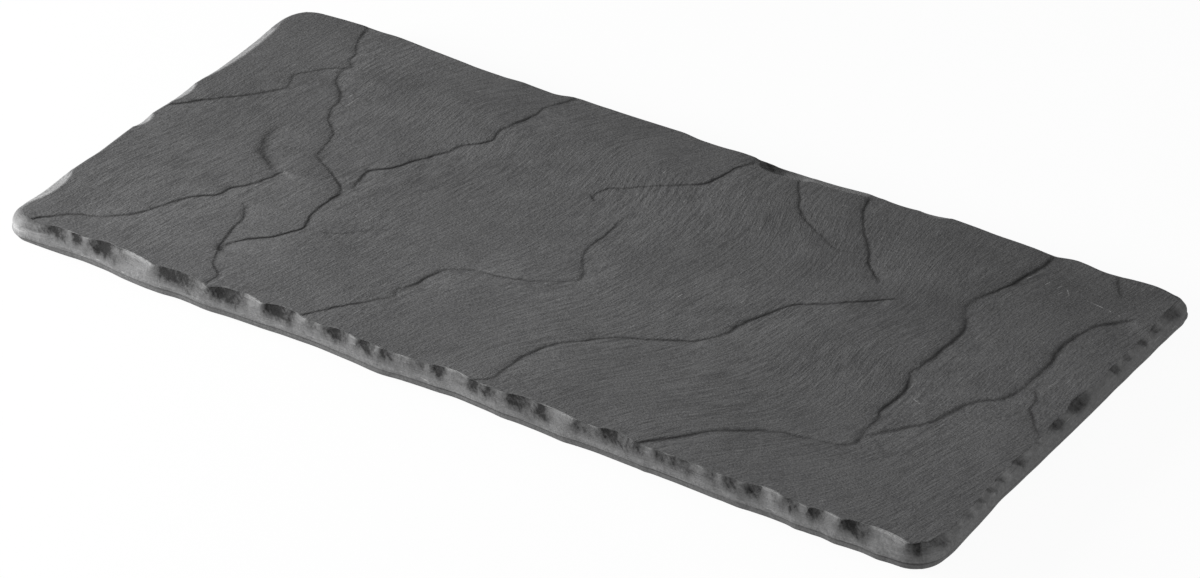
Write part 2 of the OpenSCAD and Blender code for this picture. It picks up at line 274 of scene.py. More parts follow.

# %% [markdown]
# ## Knapped edge
#
# The pressed edge is softly rounded, and flakes are struck off it. A struck flake leaves a shallow hollow
# like the inside of a bowl, so each one here is a ball that bites into the rounding. Where a ball passes
# the top plane it moves the rim inwards, so the rim's scallops come from the same balls as the hollows
# below them, and neighbouring hollows meet in a sharp ridge as they do in stone. Each flake starts with a
# deeper root where the blow fell, whose steep wall gets painted shade, and its other end gets a painted
# highlight. The near side and the right end are knapped all along, the far side and the left end only here
# and there, and two corners are left as smooth bulges.
#
# A flake is its start, the end of its root, its own end, how far in it reaches on the top and how dark the
# painted shade of its root is. A bulge is its middle and spread, how far it rounds the edge inwards and
# downwards, its painted highlight and its tuck. A painted highlight spot is its place along the side, its
# height, half its length and depth, and its strength.

# %% Flakes of the edge
ROUND_W = per_side(0.7, 1.0, 1.4, 1.4)
ROUND_H = per_side(1.6, 2.0, 1.3, 1.3)
ROUND_BLEND = 31
BULGES = [(-121, -56, 6, 2.2, 1.9, 0.25, 2.5), (123, 58, 4, 1.5, 2, 0, 0.9)]
NOSE_H = 4.2
FLAKES = {
    "near": [
        (-112, -107, -104, 1.7, 1), (-106, -102, -100, 1.2, 1), (-100, -91, -81, 2.8, 1),
        (-80, -67, -66, 1.8, 1), (-66, -62, -61, 0.8, 0.8), (-64, -56, -50, 2.8, 1),
        (-50, -42, -38, 2.3, 1), (-38, -36, -34, 0.8, 0.6), (-33, -27, -24, 1.8, 1),
        (-24, -19, -17, 1.7, 1), (-17, -13, -9, 0.9, 0.7), (-4, -1, 6, 1.7, 1), (6, 9, 11, 1.1, 1),
        (11, 14, 16, 0.9, 0.7), (16, 25, 35, 2.1, 0.9), (24, 28, 31, 1.5, 1), (35, 38, 41, 1, 0.6),
        (41, 49, 50, 2, 0.9), (50, 53, 55, 1.2, 0.7), (55, 58, 60, 1.1, 0.8), (60, 66, 68, 0.9, 0.7),
        (68, 72, 73, 0.7, 0.6), (73, 77, 78, 1.2, 0.7), (79, 82, 88, 2, 0.6), (88.5, 92, 94.5, 1, 0.8),
        (94.5, 98, 102.5, 1.8, 0.7), (103, 109, 119, 2.6, 1), (119.5, 124, 125, 1.5, 0.9),
    ],
    "right": [
        (-57, -51, -49, 1.5, 0.6), (-48, -46, -44, 1, 0.3), (-43.5, -41, -38, 1.2, 0.45),
        (-37, -35, -33.5, 1, 0.4), (-33, -31, -29, 1.1, 0.5), (-28.5, -26, -22, 1.3, 0.5),
        (-21, -16.5, -13, 1.4, 0.6), (-12, -10, -8, 1, 0.35), (-4.5, 0.5, 2, 1.6, 0.6),
        (4, 12.5, 14.5, 2.2, 0.6), (22.5, 26, 28, 1.2, 0.5), (28.5, 31, 33, 1, 0.4),
        (35.5, 38, 41, 1.2, 0.55), (42, 44.5, 47, 1.2, 0.5), (48, 54, 57, 1.6, 0.5),
    ],
    "far": [(11, 22, 28, 5.4, 0.75), (19, 19, 41, 3, 0), (54, 54, 61, 3, 0)],
    "left": [(-52, -52, -36, 4, 0), (-11, -11, -4, 3, 0), (3, 3, 13, 3, 0), (17, 17, 46, 3, 0)],
}
FLAKE_H = per_side(2.4, 2.0, 0.9, 1.4)
FLAKE_REACH = 8
ROOT_BITE = per_side(0.3, 0.2, 0.2, 0)
FLAKE_OVERLAP = 1.1
LEAST_ROOT = 0.1
ROOT_LEAD = 0.15
ROOT_TAIL = 1.4
ROOT_BOW = 0.6
ROOT_LEAST = 0.35
ROOT_SOFT = 0.6
ROOT_H = per_side(3.2, 3.2, 1.8, 1.5)
SLANT = per_side(0.6, 1.3, 0, 0)
SCAR_RUN = per_side(1.8, 6, 2, 2)
RIM_HIGHLIGHT = per_side(0.6, 0.15, 0.2, 0.3)
RIM_HIGHLIGHT_RINGS = 4
HIGHLIGHT_PAST = 0.5
HIGHLIGHT_EASE = 1.5
FACET_HIGHLIGHT = per_side(0.03, 0.16, 0.4, 0.4)
KNAPPED_PAINTED_SHADE = per_side(0.65, 0.12, 0, 0)
KNAPPED_H = 2.2
KNAPPED_END = 1.2
KNAPPED_EASE = 0.4
KNAPPED_MEAN = 0.75
KNAPPED_ALONG = [(-120, 0.9), (-60, 1), (-20, 1.1), (10, 1.4), (50, 1.4), (70, 1.1), (120, 1.1)]
HIGHLIGHT_FULL_INSET = 2.5
HIGHLIGHT_SHARE = 0.75
RIGHT_END_SHADE = 0.0025
HIGHLIGHT_SPOTS = {
    "near": [(-121, 6, 1.8, 2, 0.2), (-83, 6.4, 1.6, 0.8, 0.1), (85.5, 7, 0.8, 1.6, 0.3)],
    "right": [(-23, 7.4, 0.7, 1.4, 0.08), (-15, 7.2, 0.8, 1.6, 0.08), (-9, 6.8, 0.8, 1.6, 0.07),
              (3.5, 7.6, 0.6, 1.4, 0.08)],
}
SMALL_FLAKES = 60
SMALL_SEED = 7
SMALL_STATIONS = (30, CELLS_LONG + CELLS_SHORT - 20)
SMALL_LENGTH = (2, 4)
SMALL_INSET = (0.6, 1.2)
LEAST_BITE = 0.12


def blended(values):
    """One value per station from one per side, eased over the corners."""
    each = np.concatenate([np.full(span.stop - span.start, values[name])
                           for name, (span, axis) in side_spans.items()])
    return running_mean(np.pad(each, ROUND_BLEND // 2, mode="wrap"), ROUND_BLEND)


def flake_ball(station, length, inset, drop, more=0):
    """Centre, radius and inward direction of the ball that takes one flake.

    The flake runs from inset on the top to drop on the side, which sets its tilt. Its bite is how far that
    slope lies inside the middle of the rounding, and some more at a root. The ball is just so large that
    over the flake's length the rim swings in from the rounding to the inset and back.
    """
    slope = math.hypot(inset, drop)
    out, up = drop / slope, inset / slope
    bite = out * inset - (out * round_w[station] + up * round_h[station]) / 2
    bite = max(bite, LEAST_BITE) + more
    radius = length ** 2 / (8 * out * max(inset - round_w[station], LEAST_BITE))
    reach = radius - bite
    normal = normals[station]
    spot = outline[station] + (reach * out - round_w[station] / 2) * normal
    centre = np.array([*spot, TOP - round_h[station] / 2 + reach * up])
    return centre, radius, -np.array([*(out * normal), up])


def side_flakes(side):
    """Two balls for each flake of one side: the whole flake, and its deeper root if it has one."""
    span, axis = side_spans[side]
    place = outline[span, axis]

    def ball(low, high, inset, more):
        station = span.start + np.argmin(np.abs(place - (low + high) / 2))
        return flake_ball(station, FLAKE_OVERLAP * (high - low), inset, FLAKE_H[side], more)

    balls = [ball(start, end, inset, 0) for start, root, end, inset, shade in FLAKES[side]]
    return balls + [ball(start, root, inset, ROOT_BITE[side])
                    for start, root, end, inset, shade in FLAKES[side] if shade]


def all_flakes():
    """Balls for every flake of the four sides, and small ones at random stations of the knapped sides."""
    dice = np.random.default_rng(SMALL_SEED)
    balls = [ball for side in FLAKES for ball in side_flakes(side)]
    stations = dice.integers(*SMALL_STATIONS, SMALL_FLAKES)
    lengths, insets = dice.uniform(*SMALL_LENGTH, SMALL_FLAKES), dice.uniform(*SMALL_INSET, SMALL_FLAKES)
    return balls + [flake_ball(*small, FLAKE_H["near"]) for small in zip(stations, lengths, insets)]


def painted_root_shade(height):
    """How much painted shade each side point gets in a flake's root, for an array of rings by stations.

    A root hangs from the rim like half a lens, on a slant: its lower border is half an ellipse from a little
    before its start to well past its end, and it thins out towards that end. Soft noise makes it uneven.
    """
    shade = np.zeros_like(height)
    for side, (span, axis) in side_spans.items():
        drop = (TOP - height[:, span]) / ROOT_H[side]
        place = outline[span, axis] - SLANT[side] * (TOP - height[:, span])
        place = place + unevenness("root_along", place, drop)
        drop = drop + unevenness("root_down", place, drop)
        for start, root, end, inset, strength in FLAKES[side]:
            share = (place - start) / max(root - start, LEAST_ROOT)
            before, after = share + ROOT_LEAD, ROOT_TAIL - share
            here = smooth(before / (2 * ROOT_LEAD)) * np.clip(after, 0, 1)
            reach = ROOT_LEAST + np.sqrt(np.clip(before * after / ROOT_BOW, 0, 1))
            deep = smooth((reach - drop) / ROOT_SOFT)
            shade[:, span] = np.maximum(shade[:, span], strength * here * deep)
    return shade


def painted_knapped_shade(height):
    """A milder painted shade over the whole knapped zone, uneven along it, less on each flake's lit end."""
    drop = (TOP - height) / KNAPPED_H
    x, y = outline.T
    shade = KNAPPED_MEAN + unevenness("knapped", x + y, x - y)
    worn = painted_rim_highlight(dict.fromkeys(SIDES, HIGHLIGHT_SHARE), HIGHLIGHT_FULL_INSET)
    shade = shade * np.where(normals[:, 1] < -0.5, np.interp(x, *zip(*KNAPPED_ALONG)), 1)
    return blended(KNAPPED_PAINTED_SHADE) * shade * (1 - worn) * smooth((KNAPPED_END - drop) / KNAPPED_EASE)


def painted_rim_highlight(amount, full_inset=0.1):
    """How much painted highlight each station gets: from a flake's root to its end, by an amount per side.

    A flake whose inset falls short of the full one gets less, in proportion.
    """
    highlight = np.zeros(len(outline))
    for side, (span, axis) in side_spans.items():
        place = outline[span, axis]
        for start, root, end, inset, strength in FLAKES[side]:
            starts, ends = place - root + HIGHLIGHT_PAST, end - place + HIGHLIGHT_PAST
            painted_light = smooth(starts / HIGHLIGHT_EASE) * smooth(ends / HIGHLIGHT_EASE)
            highlight[span] = np.maximum(highlight[span], amount[side] * min(1, inset / full_inset) * painted_light)
    return highlight


def painted_highlight_spots(height):
    """Painted highlights on the side: a bell curve along it times one down it, slanted, round each place."""
    painted_light = np.zeros_like(height)
    for side, spots in HIGHLIGHT_SPOTS.items():
        span, axis = side_spans[side]
        for spot, level, half_l, half_h, amount in spots:
            up = height[:, span] - level
            along = outline[span, axis] - spot + SLANT[side] * up
            painted_light[:, span] += amount * np.exp(-(along / half_l) ** 2 - (up / half_h) ** 2)
    return painted_light


def rim_inset(balls):
    """How far in from the outline the flat top ends at each station.

    A ball cuts the top plane in a circle. The line straight in from the station leaves that circle at the
    sum of its distance to the circle's middle and half its chord. The largest over the balls nearby counts.
    """
    inset = round_w + unevenness("rim", *outline.T)
    for centre, radius, inward in balls:
        circle = radius ** 2 - (centre[2] - TOP) ** 2
        apart = outline - centre[:2]
        ahead = np.sum(apart * normals, axis=1)
        chord = ahead ** 2 - np.sum(apart ** 2, axis=1) + circle
        leaves = ahead + np.sqrt(np.clip(chord, 0, None))
        nearby = (chord > 0) & (leaves < FLAKE_REACH)
        inset = np.where(nearby, np.maximum(inset, leaves), inset)
    return inset


def knock_off(points, balls):
    """Points that lie inside a ball are pushed into the slab as far as the ball's surface."""
    moved = np.zeros(len(points))
    for centre, radius, inward in balls:
        apart = points - centre
        inside = np.sum(apart ** 2, axis=1) < radius ** 2
        ahead = apart[inside] @ inward
        depth = np.sqrt(ahead ** 2 - np.sum(apart[inside] ** 2, axis=1) + radius ** 2) - ahead
        points[inside] += depth[:, None] * inward
        moved[inside] += depth
    return moved


round_w, round_h = blended(ROUND_W), blended(ROUND_H)
bulge_highlight, bulge_tuck = np.zeros(len(outline)), np.zeros(len(outline))
for bulge_x, bulge_y, spread, more_w, more_h, highlight, tuck in BULGES:
    bulge = bell(*outline.T, bulge_x, bulge_y, spread)
    round_w += more_w * bulge
    round_h += more_h * bulge
    bulge_highlight += highlight * bulge
    bulge_tuck += tuck * bulge
balls = all_flakes()
inset = rim_inset(balls)
rim = outline - inset[:, None] * normals
print(len(balls), "flakes, rim", round(inset.min(), 2), "to", round(inset.max(), 2), "mm in")

# %% [markdown]
# ## Riven top
#
# Where a layer of slate has come away, a low wall is left. The floor beside it is deepest at the wall and
# climbs back to the old level some way off, and the edge above is worn down a little. So each cleft is the
# line of its wall, how deep it is at both ends, how soon it fades there, how wide its wall and its line of
# painted crevice shade are, and how dark that shade is from start to end. The points of each line are
# given on the tray's plan and are rounded into curves here. The points in beyond close the line round the
# side that came away.

# %% Clefts of the top
STEP_H = 0.55
FLOOR_RUN = 14
EDGE_WEAR = 0.6
EDGE_RUN = 1.6
LEAST_FADE = 0.01
CREVICE_SHADE_DEPTH = 0.58
CREVICE_SHADE_ASIDE = 0.1
SEEN_POWER = 2.2
TIP_FADE = 0.8
CURVE_PITCH = 1.0
DEPTH_MEAN = 0.75
CLEFTS = [
    dict(depth=(0.9, 0.6), fade=(0, 2), wall=0.35, wide=0.36, beyond=[(-80, 40), (-80, -66), (-130, -66)],
         dark=(0.9, 1, 0.8, 0.7, 0.35, 0.5, 0.65),
         line=[(-130, -5.5), (-121.5, 2.5), (-116.5, 8.5), (-113, 12), (-109, 16), (-106, 20),
               (-103.5, 23.5), (-104.5, 27), (-105.5, 30), (-103, 33), (-101, 36), (-96, 40)]),
    dict(depth=(0.6, 0.6), fade=(0, 0), wall=0.35, wide=0.3, beyond=[(0, 66), (0, -66)],
         dark=(0.6, 0.65, 0.7, 1.2, 1.9, 0.95, 0.35, 0.45, 0.35, 0.4, 0.3, 0.4, 0.4, 0.2),
         line=[(-66, -66), (-66.5, -57), (-66.5, -53), (-70, -50), (-73, -42.5), (-70.5, -37.5),
               (-65.5, -32.5), (-62.5, -28), (-62, -26), (-63, -22.5), (-64, -20), (-64, -14), (-64, -9),
               (-66, -6), (-69.5, -3.5), (-75, -0.5), (-78.5, 2), (-79.5, 7), (-81, 12), (-86, 17),
               (-88, 21), (-89, 25), (-90.5, 28.5), (-94.5, 31.5), (-96, 34), (-97, 38), (-96, 40),
               (-98, 42), (-99, 46), (-101, 49), (-102.5, 53), (-104, 58), (-104, 66)]),
    dict(depth=(0.8, 0.6), fade=(1, 6), wall=0.4, wide=0.3, beyond=[(-60, -24), (-60, -45)],
         dark=(0.8, 0.5, 0.4, 0.3),
         line=[(-73, -45), (-75, -38), (-76.5, -30), (-80.5, -24.5)]),
    dict(depth=(0.9, 0.9), fade=(0, 1), wall=0.35, wide=0.3, beyond=[(-60, -8), (-60, -68)],
         dark=(1.6, 1.6, 0.65, 0.5, 0.5, 0.8, 1.05, 0.75, 1.3),
         line=[(-123, -68), (-117.5, -57), (-114, -53.5), (-110, -50), (-103.5, -46.5), (-98.5, -41.5),
               (-95.5, -36), (-92.5, -30), (-87.5, -25), (-87, -21), (-84, -17.5), (-82, -13), (-81, -8)]),
    dict(depth=(0.7, 0.8), fade=(4, 9), wall=2, wide=1.1, beyond=[(-75, 12), (-70, -8)],
         dark=(0.05, 0.35, 0.4, 0.25, 0),
         line=[(-80.5, -8), (-83.5, -8), (-86.5, -6.5), (-90.5, -3.5), (-93, 1), (-94, 7), (-92.5, 12)]),
    dict(depth=(0.5, 1.0), fade=(3, 0), wall=0.4, wide=0.33, beyond=[(10, 66), (10, -7)],
         dark=(0, 0.85, 1.35, 1.1, 0.4, 0.8, 0.6, 0.8, 0.3, 0.6, 1.2),
         line=[(-63, -7), (-63, -4), (-64, 0), (-64, 3), (-61, 6), (-59, 9), (-57, 14), (-53.5, 20),
               (-52.5, 24), (-49.5, 27), (-47.5, 30), (-48.5, 34), (-47.5, 39), (-46.5, 42), (-45.5, 46),
               (-45.5, 50), (-42.5, 55.5), (-40.5, 66)]),
    dict(depth=(0.25, 0.25), fade=(4, 4), wall=0.5, wide=0.3, beyond=[(-38, -30)],
         dark=(0.2, 0.35, 0.25, 0.2, 0.1),
         line=[(-58, -25.5), (-53, -23.5), (-50, -20), (-44, -16)]),
    dict(depth=(1.0, 0.5), fade=(0, 9), wall=0.35, wide=0.3, beyond=[(60, 22), (60, -66)],
         dark=(1.5, 1.5, 0.8, 0.9, 0.4, 0.1, 0.9, 0.2, 0.5, 0.55, 0.4, 0.2, 0, 0.5, 1, 0.3, 0.05),
         line=[(-45, -66), (-41, -57), (-37, -51), (-34, -47), (-30, -42), (-27.5, -38), (-28.5, -36),
               (-26.5, -32), (-25.5, -27), (-24, -23), (-20, -20), (-16, -19), (-11, -18), (-5, -16),
               (1, -12.5), (4, -9.5), (3.5, -7.5), (1, -4), (-1.5, 0.5), (-1.5, 5), (-1.5, 11), (-2, 17),
               (-2, 22)]),
    dict(depth=(0.7, 0.9), fade=(3, 0), wall=0.4, wide=0.3, beyond=[(60, 66), (60, 19)],
         dark=(0.6, 0.5, 0.4, 0.5, 0.9, 0.9, 0.65, 0.9),
         line=[(-11.5, 19.5), (-13, 21), (-13.5, 23), (-12, 27), (-8.5, 29.5), (-5.5, 32.5), (-0.5, 36.5),
               (5.5, 41.5), (7, 46), (8, 51), (10, 56), (12, 66)]),
    dict(depth=(0.4, 0.8), fade=(14, 0), wall=0.4, wide=0.3, beyond=[(70, 66), (70, 32)],
         dark=(0.05, 0.2, 0.35, 0.4, 0.6, 0.55, 0.4),
         line=[(53, 34), (49, 33), (46, 33), (42, 35), (36, 38.5), (30, 43.5), (28, 47), (24, 53),
               (20, 66)]),
    dict(depth=(0.7, 0.7), fade=(4, 0), wall=0.4, wide=0.27, beyond=[(100, 66), (100, 25)],
         dark=(0.5, 0.6, 0.5, 0.5, 0.7, 0.7, 0.5),
         line=[(62, 25), (60, 28), (57, 30.5), (55, 33), (53, 36.5), (47.5, 43.5), (43, 51), (41, 57),
               (38, 66)]),
    dict(depth=(1.0, 0.7), fade=(0, 4), wall=0.35, wide=0.3, beyond=[(110, 22), (110, -66)],
         dark=(1.4, 1, 0.3, 0.2, 0.5, 0.8, 0.5, 0.8, 0.75, 0.3, 0.9, 0.75, 0.6, 0.8, 1.1),
         line=[(3, -66), (7, -57), (10, -54), (10.5, -50), (11, -42), (14.5, -34.5), (19.5, -29.5),
               (25, -24.5), (32, -21), (40, -16.5), (43.5, -11.5), (44.5, -6), (47, 1), (49, 5), (51.5, 9),
               (57.5, 13), (64, 18.5), (69, 22.5)]),
    dict(depth=(0.8, 1.0), fade=(0, 0), wall=1.1, wide=0.44, beyond=[(131, 66), (131, -66)],
         dark=(0.9, 0.9, 0.85, 0.65, 0.7, 0.5, 0.3, 0.45, 0.3, 1, 0.85, 0.5, 0.75, 0.7, 0.1, 0.2, 1.3, 0.9,
               0.6, 0.6),
         line=[(45, -66), (50, -58), (56, -52), (61, -46), (66, -42), (72, -38.5), (80.5, -36), (86, -34.5),
               (90, -32.5), (90, -29.5), (89.5, -26.5), (89.5, -23), (89.5, -20.5), (88.5, -19),
               (88.5, -16), (89, -12), (89, -8.5), (88.5, -6.5), (87, -3.5), (86.5, -2), (87, 0.5),
               (87.5, 7), (88, 13), (88, 18), (86.5, 22.5), (84.5, 26), (83.5, 29), (84, 33), (86, 38),
               (88, 44), (89, 49), (90, 56), (90, 66)]),
    dict(depth=(0.8, 1.0), fade=(3, 2), wall=1.0, wide=0.55, beyond=[(140, 58), (140, -66), (92, -66)],
         dark=(0.1, 0.6, 0.55, 0.45, 0.5, 0.4, 0.5, 0.35, 0.6, 0.6, 0.55, 0.6, 0.5),
         line=[(90.5, -28.5), (93, -25), (97, -20), (100, -16), (102, -10), (103.5, -5), (108, 0), (110, 4),
               (110.5, 10), (110.5, 17), (109.5, 25), (110.5, 32), (112, 37), (115, 41), (118, 44.5)]),
    dict(depth=(0.5, 0.4), fade=(0, 3), wall=0.5, wide=0.4, beyond=[(131, 9)],
         dark=(0.1, 0.1, 0.15, 0.4, 0.55, 0.4),
         line=[(131, -17), (121.5, -7), (119, -4), (115.5, 0), (115, 4), (112.5, 7.5)]),
    dict(depth=(0.4, 0.5), fade=(4, 0), wall=0.4, wide=0.36, beyond=[(131, 66), (131, 50)],
         dark=(0.15, 0.35, 0.3, 0.1),
         line=[(111, 49.5), (110, 51.5), (109, 53.5), (107.5, 55.5), (106.5, 57.5), (104, 66)]),
]


def curved(line):
    """A line through given points, rounded and slightly shaken.

    Each stretch is the cubic that leaves and meets its points along the chord between their neighbours.
    """
    point = np.array(line, float)
    padded = np.concatenate([[2 * point[0] - point[1]], point, [2 * point[-1] - point[-2]]])
    stretches = []
    for a, b, c, d in zip(padded, padded[1:], padded[2:], padded[3:]):
        t = np.linspace(0, 1, max(2, round(np.linalg.norm(c - b) / CURVE_PITCH)), endpoint=False)[:, None]
        stretches.append(b + t * (c - a) / 2 + t ** 2 * (a - 2.5 * b + 2 * c - d / 2)
                         + t ** 3 * (1.5 * b - 1.5 * c + (d - a) / 2))
    whole = np.concatenate([*stretches, point[-1:]])
    shake = [unevenness("cleft_line", *whole.T, number) for number in (0, 1)]
    return whole + np.stack(shake, axis=1)


def nearest_on(line, x, y):
    """Distance from each place to a line, the nearest point, and how far along the line that point is."""
    best = np.full(x.shape, np.inf)
    near_x, near_y, near_run = x.copy(), y.copy(), np.zeros(x.shape)
    passed = 0
    for (ax, ay), (bx, by) in zip(line, line[1:]):
        run_x, run_y = bx - ax, by - ay
        length = math.hypot(run_x, run_y)
        t = np.clip(((x - ax) * run_x + (y - ay) * run_y) / length ** 2, 0, 1)
        spot_x, spot_y = ax + t * run_x, ay + t * run_y
        away = (x - spot_x) ** 2 + (y - spot_y) ** 2
        closer = away < best
        best[closer] = away[closer]
        near_x[closer], near_y[closer] = spot_x[closer], spot_y[closer]
        near_run[closer] = passed + t[closer] * length
        passed += length
    return np.sqrt(best), near_x, near_y, near_run


def inside(ring, x, y):
    """Whether each place lies in a closed ring: a line to the right of it crosses the ring an odd number of
    times."""
    odd = np.zeros(x.shape, bool)
    for (ax, ay), (bx, by) in zip(ring, np.roll(ring, -1, axis=0)):
        spans = (ay > y) != (by > y)
        if ay != by:
            odd ^= spans & (x < ax + (y - ay) / (by - ay) * (bx - ax))
    return odd


def within(line, x, y, margin):
    """Places in the box round a line, widened by a margin: only these need its distance."""
    low, high = line.min(axis=0) - margin, line.max(axis=0) + margin
    return (x > low[0]) & (x < high[0]) & (y > low[1]) & (y < high[1])


cleft_lines = [curved(cleft["line"]) for cleft in CLEFTS]
print(len(CLEFTS), "clefts with", sum(map(len, cleft_lines)), "points on their walls")

# %% [markdown]
# ## The slab's surface
#
# The top is a grid stretched between its four rims: each inner point blends the rims across from each other
# and takes off the blend of the corners. Cells of 0.6 mm are too coarse for a thin wall, so points near a
# cleft are drawn towards it. The side is a section carried round the outline, ring by ring, and the
# underside closes it with two rings and a middle point.

# %% Grid of the top
PULL_REACH = 3.5
PULL_KEEP = 0.3
PULL_FADE_CELLS = 5


def stretched_grid(near, right, far, left):
    """A grid between four rims: the blend of near and far, plus that of left and right, less that of the
    corners."""
    u = np.linspace(0, 1, len(near))[:, None, None]
    v = np.linspace(0, 1, len(right))[None, :, None]
    lengthwise = (1 - v) * near[:, None] + v * far[:, None]
    crosswise = (1 - u) * left[None] + u * right[None]
    corners = ((1 - u) * (1 - v) * near[0] + u * (1 - v) * near[-1]
               + (1 - u) * v * far[0] + u * v * far[-1])
    return lengthwise + crosswise - corners


def draw_towards_clefts(x, y, free):
    """Points within reach of a cleft's wall move towards it, most when they are nearest, so cells narrow
    there. free is 0 on the rim, which stays put, and 1 inside."""
    for line in cleft_lines:
        close = within(line, x, y, PULL_REACH)
        away, near_x, near_y, near_run = nearest_on(line, x[close], y[close])
        keep = PULL_KEEP + (1 - PULL_KEEP) * smooth(away / PULL_REACH)
        keep = 1 - (1 - keep) * free[close]
        x[close] = near_x + (x[close] - near_x) * keep
        y[close] = near_y + (y[close] - near_y) * keep
    return x, y


rim_loop = np.concatenate([rim, rim[:1]])
near_rim, right_rim, far_rim, left_rim = [rim_loop[first:last + 1] for first, last in zip(turns, turns[1:])]
grid = stretched_grid(near_rim, right_rim, far_rim[::-1], left_rim[::-1])
column, row = np.indices(grid.shape[:2])
top_index = np.arange(column.size).reshape(column.shape)
cells_in = np.minimum(np.minimum(column, CELLS_LONG - column), np.minimum(row, CELLS_SHORT - row))
top_x, top_y = draw_towards_clefts(grid[..., 0].ravel(), grid[..., 1].ravel(),
                                   smooth(cells_in.ravel() / PULL_FADE_CELLS))
print("top grid of", top_x.size, "points")

# %% [markdown]
# ## Heights of the top
#
# The clefts give the large relief. Below them lies what every split stone has: a grain of long low ripples.
# On this tray the grain runs across the width and bends towards the right at the near side, so the ripples
# follow a coordinate that is constant along that bend. Broad patches are a little lighter or darker than
# the rest, partly the stone's own uneven tone and partly painted shade, as along the far edge. A turn of the
# grain and a patch are each a middle, a spread and a strength.

# %% Heights of the top
GRAIN_LEAN = 0.2
GRAIN_TURNS = [
    (30, -35, 28, 0.5), (75, -45, 20, 0.6), (45, 40, 22, -0.4), (-88, 18, 18, -0.1), (-10, -30, 18, 0.05),
    (100, 10, 25, -0.15), (-50, 52, 14, 0.7), (-10, 52, 12, 0.7), (70, 12, 12, 0.4),
]
LAYER_SHIFT = 0.6
TONE_AND_SHADE_PATCHES = [
    (-117, 17, 10, -0.13), (-110, -18, 12, -0.09), (-92, 33, 7, 0.1), (-93, -40, 8, 0.1),
    (-75, -46, 9, 0.12), (-62, -48, 9, 0.12), (-45, -25, 9, 0.13), (-45, 4, 8, -0.11), (-63, 50, 8, -0.1),
    (-45, 53, 8, -0.08), (-20, 53, 9, -0.17), (-25, 28, 8, 0.07), (-12, -2, 9, 0.12), (-10, -27, 12, 0.17),
    (3, 38, 8, 0.1), (25, 54, 10, -0.14), (50, 54, 9, -0.15), (75, 53, 9, -0.1), (93, 40, 10, -0.06),
    (105, 47, 11, -0.2), (100, -8, 12, 0.14), (115, 5, 8, 0.1),
]


def grain_across(x, y):
    """Distance across the grain, constant along it.

    It is x less a lean times y. Round each given place the lean changes by some amount, which dies away
    as a bell curve. Soft noise bends the grain everywhere by a few millimetres.
    """
    across = x - GRAIN_LEAN * y + unevenness("grain", x, y)
    for turn_x, turn_y, spread, lean in GRAIN_TURNS:
        across = across - lean * (y - turn_y) * bell(x, y, turn_x, turn_y, spread)
    return across


def tone_and_painted_shade(x, y):
    """Broad tone and painted shade of the top: a bell curve round each given place, added together."""
    tone = np.zeros_like(x)
    for spot_x, spot_y, spread, amount in TONE_AND_SHADE_PATCHES:
        tone += amount * bell(x, y, spot_x, spot_y, spread)
    return tone


def evenly(values, share):
    """Values set evenly along a line, read off in between at a share of its length."""
    return np.interp(share, np.linspace(0, 1, len(values)), values)


def faded(run, whole, first, last):
    """1 along a line of some whole length, with smooth steps down to 0 over its first and last stretch."""
    return smooth(run / first) * smooth((whole - run) / last)


def riven(x, y):
    """Depth of the clefts at each place, the painted shade along their walls, and a shift of the grain on
    each layer.

    At a wall the depth runs evenly from its value at the start to that at the end and fades at free ends.
    The floor climbs back along a parabola over its run, and the worn edge above dies away exponentially. A
    smooth step carries one into the other across the wall's width. The painted shade is a bell curve across
    the wall, and its listed darkness is turned from what the eye sees into a share of light by a power.
    """
    depth, crevice_shade, shift = np.zeros_like(x), np.zeros_like(x), np.zeros_like(x)
    for number, (cleft, line) in enumerate(zip(CLEFTS, cleft_lines), 1):
        close = within(line, x, y, FLOOR_RUN)
        away, near_x, near_y, run = nearest_on(line, x[close], y[close])
        level = np.zeros_like(run)
        whole = np.linalg.norm(np.diff(line, axis=0), axis=1).sum()
        ends = np.maximum(cleft["fade"], LEAST_FADE)
        share = evenly(cleft["depth"], run / whole) * faded(run, whole, *ends)
        share = share * (DEPTH_MEAN + unevenness("cleft_depth", run, level, number))
        floor = inside(np.concatenate([line, cleft["beyond"]]), x[close], y[close])
        signed = np.where(floor, away, -away)
        over = smooth(signed / cleft["wall"] + 0.5)
        fall = share * np.clip(1 - away / FLOOR_RUN, 0, 1) ** 2
        worn = EDGE_WEAR * share * np.exp(-away / EDGE_RUN)
        depth[close] += STEP_H * (fall * over + worn * (1 - over))
        wide = cleft["wide"] * (1 + unevenness("crevice_shade_width", run, level, number))
        painted_shade = evenly(cleft["dark"], run / whole) * faded(run, whole, TIP_FADE, TIP_FADE)
        painted_shade = painted_shade * (1 + unevenness("crevice_shade_dark", run, level, number))
        painted_shade = 1 - np.clip(1 - CREVICE_SHADE_DEPTH * painted_shade, 0, 1) ** SEEN_POWER
        crevice_shade[close] = np.maximum(crevice_shade[close], painted_shade * np.exp(-((signed - CREVICE_SHADE_ASIDE) / wide) ** 2))
        shift[close] += LAYER_SHIFT * (1 + number % 3) * fall * over
    return depth, crevice_shade, shift


def top_height(x, y):
    """Height of the top: the level top less the clefts' depth, plus grain ripples and broad swells."""
    depth, crevice_shade, shift = riven(x, y)
    across = grain_across(x, y)
    ripple = unevenness("fine_ripple", across, y) + unevenness("broad_ripple", across, y)
    grain = np.stack([across, y, shift], axis=1)
    return TOP - depth + ripple + unevenness("swell", x, y), crevice_shade, grain


top_z, top_crevice_shade, top_grain = top_height(top_x, top_y)
top_points = np.stack([top_x, top_y, top_z], axis=1)
print("top between", round(top_z.min(), 2), "and", round(top_z.max(), 2), "mm")

